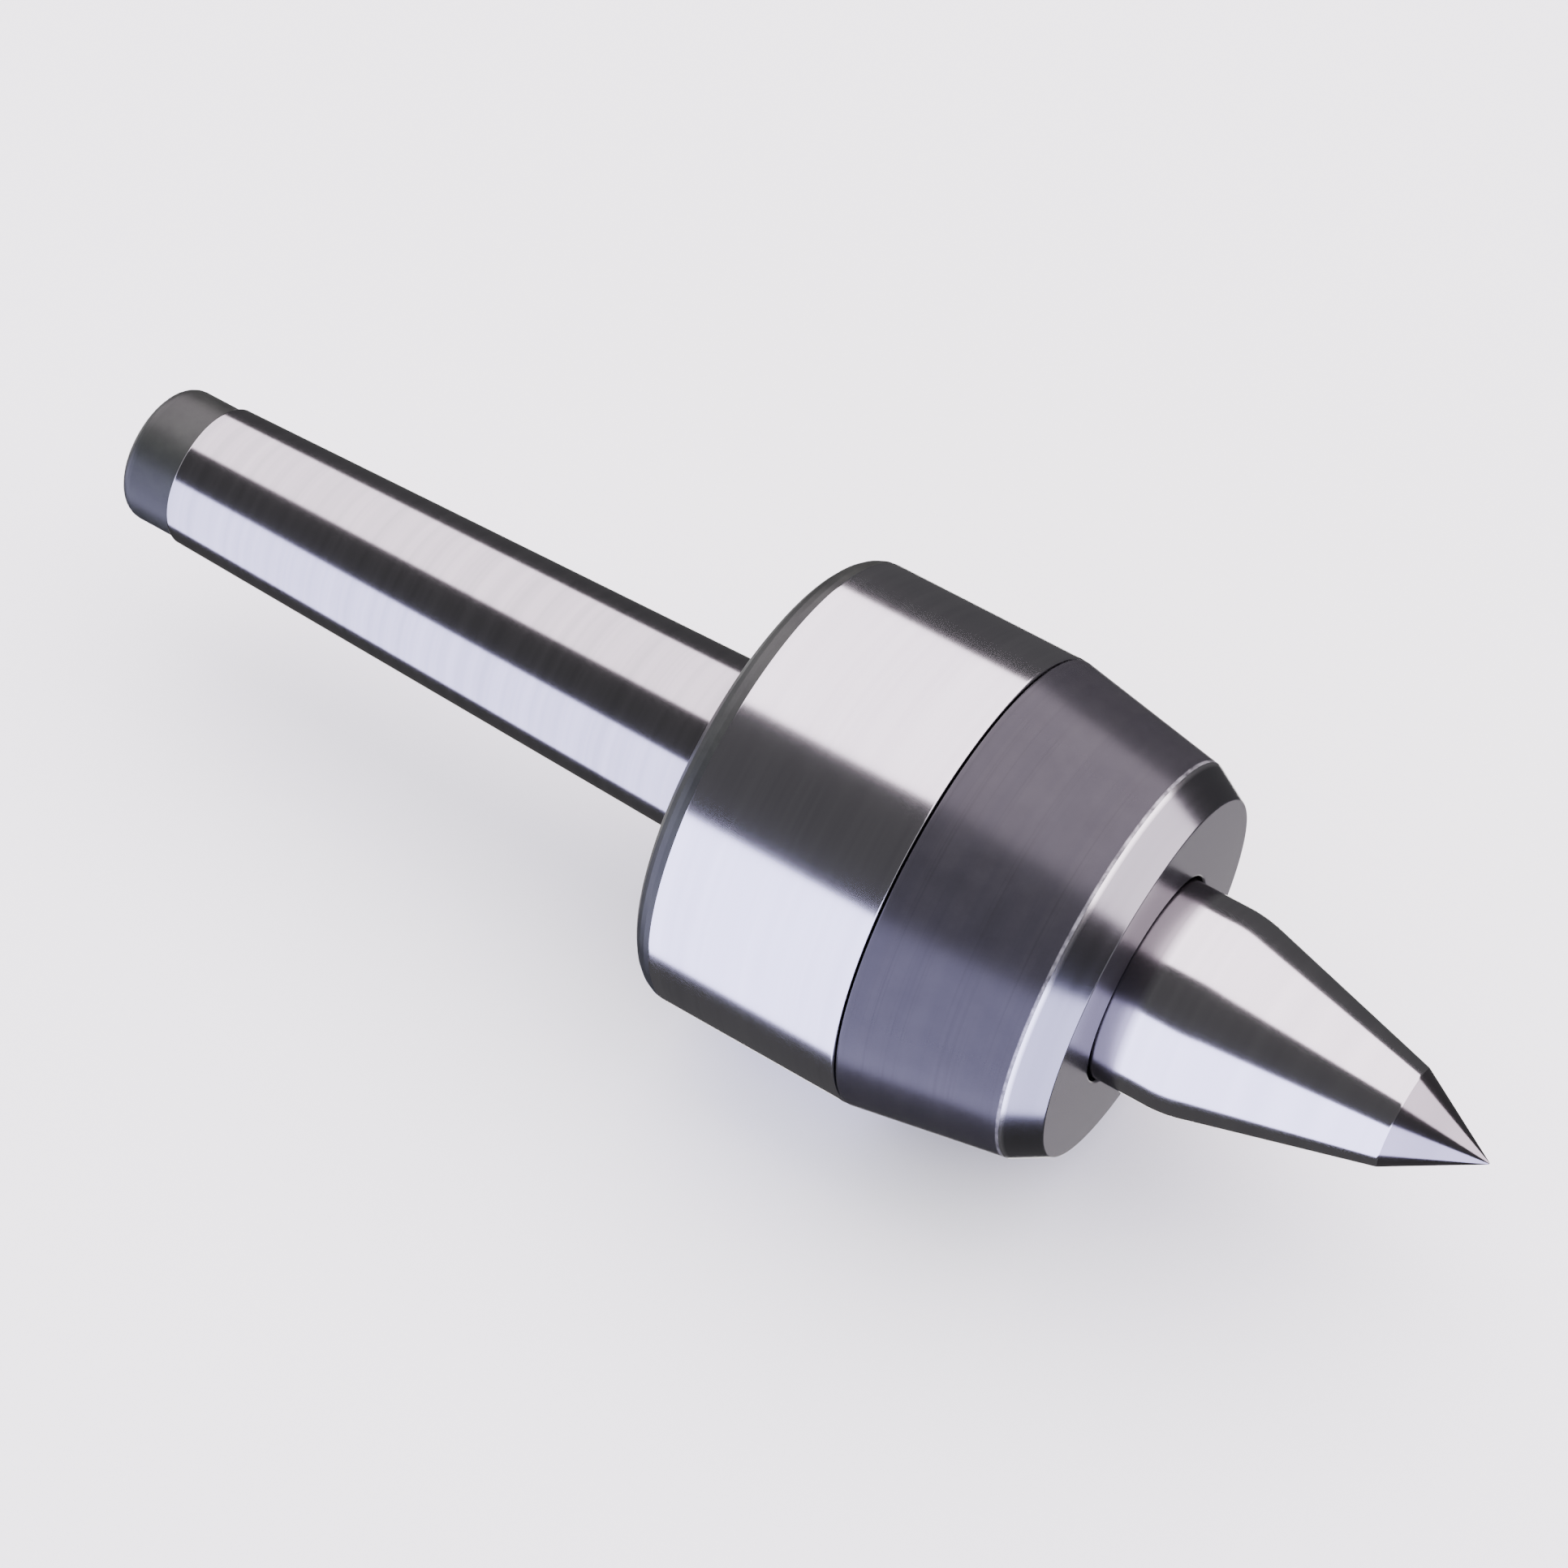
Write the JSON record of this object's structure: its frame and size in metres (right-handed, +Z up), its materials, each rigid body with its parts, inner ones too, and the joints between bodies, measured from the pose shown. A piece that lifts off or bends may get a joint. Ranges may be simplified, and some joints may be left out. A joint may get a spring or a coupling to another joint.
{
  "type": "live center",
  "caption": "Revolving tailstock centre: a Morse taper shank and bearing housing that carry a free-turning extended point on ball, thrust and needle bearings.",
  "frame": {"origin": "on the spindle axis, in the gauge plane of the Morse taper", "axes": "+X along the spindle axis towards the point; +Z up"},
  "size_m": [0.2555, 0.08, 0.08],
  "materials": {
    "ground_steel": "ground bright",
    "black_oxide_steel": "black oxide, satin",
    "bearing_steel": "hardened and polished",
    "spring_steel": "tempered grey",
    "cage_brass": "machined",
    "seal_rubber": "matt moulded"
  },
  "bodies": {
    "housing": {"shank_housing": "ground_steel", "front_cap": "black_oxide_steel", "cap_lock_screw": "black_oxide_steel", "cap_o_ring": "seal_rubber", "shaft_seal": "seal_rubber", "seal_garter_spring": "spring_steel", "preload_wave_washer": "spring_steel", "front_bearing_outer_ring": "bearing_steel", "front_bearing_rear_shield": "spring_steel", "front_bearing_front_shield": "spring_steel", "thrust_bearing_housing_washer": "bearing_steel", "needle_bearing_cup": "bearing_steel"},
    "spindle": {"center_point": "ground_steel", "bearing_lock_nut": "black_oxide_steel", "lock_tab_washer": "spring_steel", "front_bearing_inner_ring": "bearing_steel", "thrust_bearing_shaft_washer": "bearing_steel"},
    "front_cage": {"front_bearing_cage": "cage_brass", "front_bearing_ball_01": "bearing_steel", "front_bearing_ball_02": "bearing_steel", "front_bearing_ball_03": "bearing_steel", "front_bearing_ball_04": "bearing_steel", "front_bearing_ball_05": "bearing_steel", "front_bearing_ball_06": "bearing_steel", "front_bearing_ball_07": "bearing_steel", "front_bearing_ball_08": "bearing_steel", "front_bearing_ball_09": "bearing_steel", "front_bearing_ball_10": "bearing_steel", "front_bearing_ball_11": "bearing_steel"},
    "thrust_cage": {"thrust_bearing_cage": "cage_brass", "thrust_bearing_ball_01": "bearing_steel", "thrust_bearing_ball_02": "bearing_steel", "thrust_bearing_ball_03": "bearing_steel", "thrust_bearing_ball_04": "bearing_steel", "thrust_bearing_ball_05": "bearing_steel", "thrust_bearing_ball_06": "bearing_steel", "thrust_bearing_ball_07": "bearing_steel", "thrust_bearing_ball_08": "bearing_steel", "thrust_bearing_ball_09": "bearing_steel", "thrust_bearing_ball_10": "bearing_steel", "thrust_bearing_ball_11": "bearing_steel"},
    "needle_cage": {"needle_bearing_cage": "cage_brass", "needle_roller_01": "bearing_steel", "needle_roller_02": "bearing_steel", "needle_roller_03": "bearing_steel", "needle_roller_04": "bearing_steel", "needle_roller_05": "bearing_steel", "needle_roller_06": "bearing_steel", "needle_roller_07": "bearing_steel", "needle_roller_08": "bearing_steel", "needle_roller_09": "bearing_steel", "needle_roller_10": "bearing_steel", "needle_roller_11": "bearing_steel", "needle_roller_12": "bearing_steel", "needle_roller_13": "bearing_steel", "needle_roller_14": "bearing_steel"}
  },
  "joints": [
    {"name": "spindle_spin", "type": "hinge", "parent": "housing", "child": "spindle", "pos_m": [0, 0, 0], "axis": [1, 0, 0], "continuous": true},
    {"name": "front_cage_spin", "type": "hinge", "parent": "housing", "child": "front_cage", "pos_m": [0.0585, 0, 0], "axis": [1, 0, 0], "continuous": true},
    {"name": "thrust_cage_spin", "type": "hinge", "parent": "housing", "child": "thrust_cage", "pos_m": [0.0335, 0, 0], "axis": [1, 0, 0], "continuous": true},
    {"name": "needle_cage_spin", "type": "hinge", "parent": "housing", "child": "needle_cage", "pos_m": [0.0025, 0, 0], "axis": [1, 0, 0], "continuous": true}
  ],
  "couplings": [
    {"joint": "front_cage_spin", "follows": "spindle_spin", "ratio": 0.4154},
    {"joint": "thrust_cage_spin", "follows": "spindle_spin", "ratio": 0.5},
    {"joint": "needle_cage_spin", "follows": "spindle_spin", "ratio": 0.4474}
  ]
}
